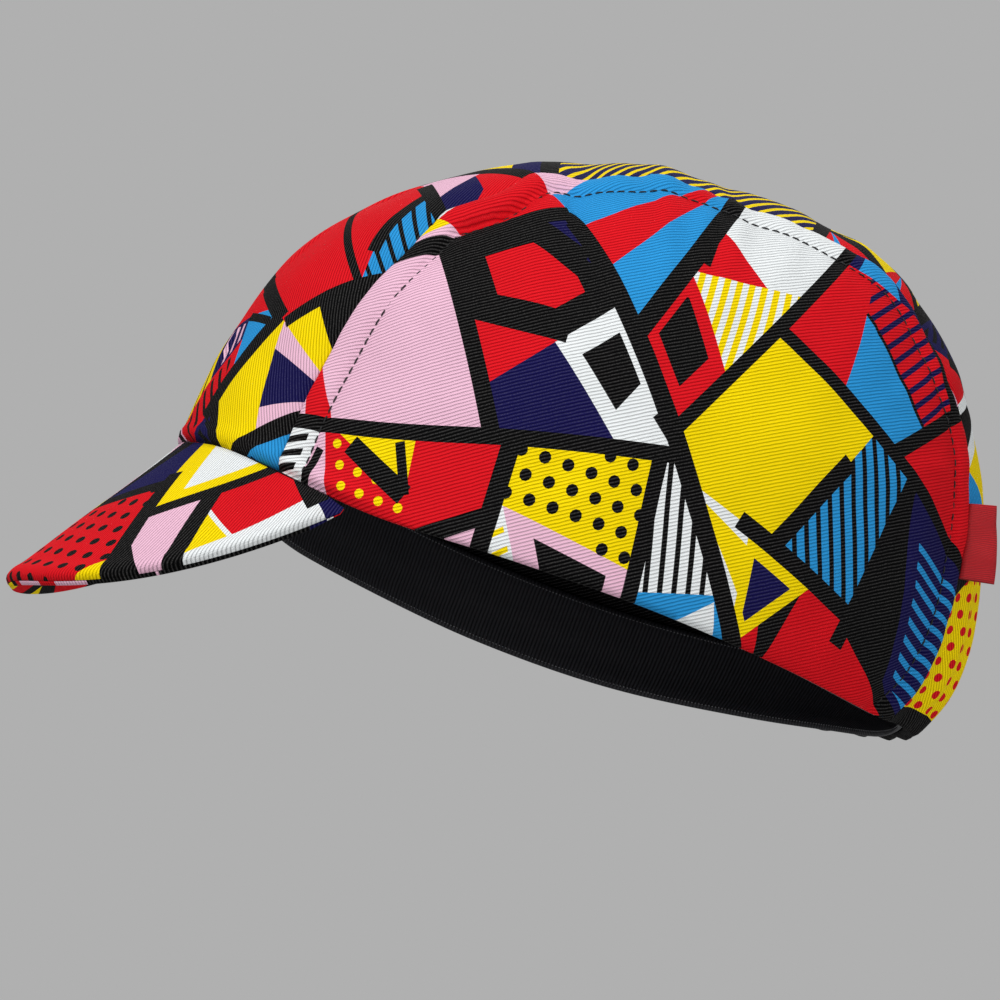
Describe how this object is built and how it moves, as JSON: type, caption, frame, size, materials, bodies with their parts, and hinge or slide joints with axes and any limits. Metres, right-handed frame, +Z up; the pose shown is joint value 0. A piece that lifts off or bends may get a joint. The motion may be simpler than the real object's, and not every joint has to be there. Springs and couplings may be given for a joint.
{
  "type": "cycling cap",
  "caption": "Soft panelled cotton cycling cap in its worn form, with a short down-turned peak, a ribbed sweatband, a seam label and a gathered rear hem.",
  "frame": {"origin": "middle of the head opening, where the cap sits on a head", "axes": "+Z up as worn on an upright head, the peak towards -X, the wearer's left side towards -Y"},
  "size_m": [0.2535, 0.1568, 0.1459],
  "materials": {
    "crown_cloth": "printed cotton twill in bold red, yellow, navy, sky blue, pink, white and black shapes",
    "peak_cloth": "printed cotton twill, the ribs running from the rim to the edge",
    "band_ribbon": "black ribbed sweatband ribbon with a faint sheen",
    "label_satin": "plain red woven satin ribbon"
  },
  "bodies": {
    "root": {"crown_center": "crown_cloth", "crown_left": "crown_cloth", "crown_right": "crown_cloth", "peak_upper": "peak_cloth", "peak_under": "peak_cloth", "sweatband": "band_ribbon", "side_label": "label_satin"}
  },
  "joints": []
}
